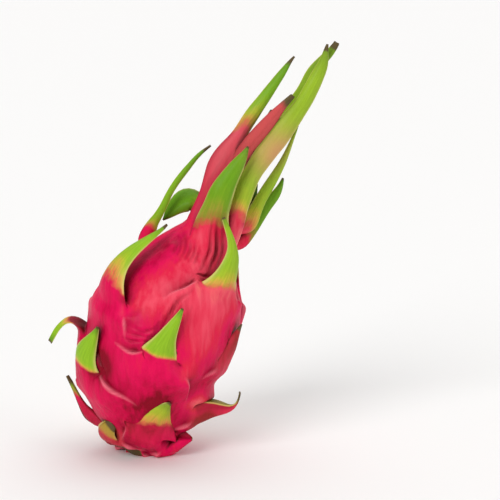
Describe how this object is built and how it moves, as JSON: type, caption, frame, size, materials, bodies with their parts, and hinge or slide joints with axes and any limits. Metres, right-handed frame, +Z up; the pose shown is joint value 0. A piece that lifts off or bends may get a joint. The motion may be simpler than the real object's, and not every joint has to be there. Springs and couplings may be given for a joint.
{
  "type": "dragon fruit",
  "caption": "Whole pink dragon fruit with green-tipped bracts and a long leafy crown, standing on its stem end on a small flat spot.",
  "frame": {"origin": "middle of the small flat spot on the stem end that the fruit stands on", "axes": "+Z up from the flat spot; the front of the fruit faces -Y; the body and its crown lean towards +X"},
  "size_m": [0.1576, 0.0984, 0.2248],
  "materials": {
    "rind": "waxy magenta-pink fruit rind, fading to leafy green at the bracts' tips, satin"
  },
  "bodies": {
    "root": {"dragon_fruit": "rind"}
  },
  "joints": []
}
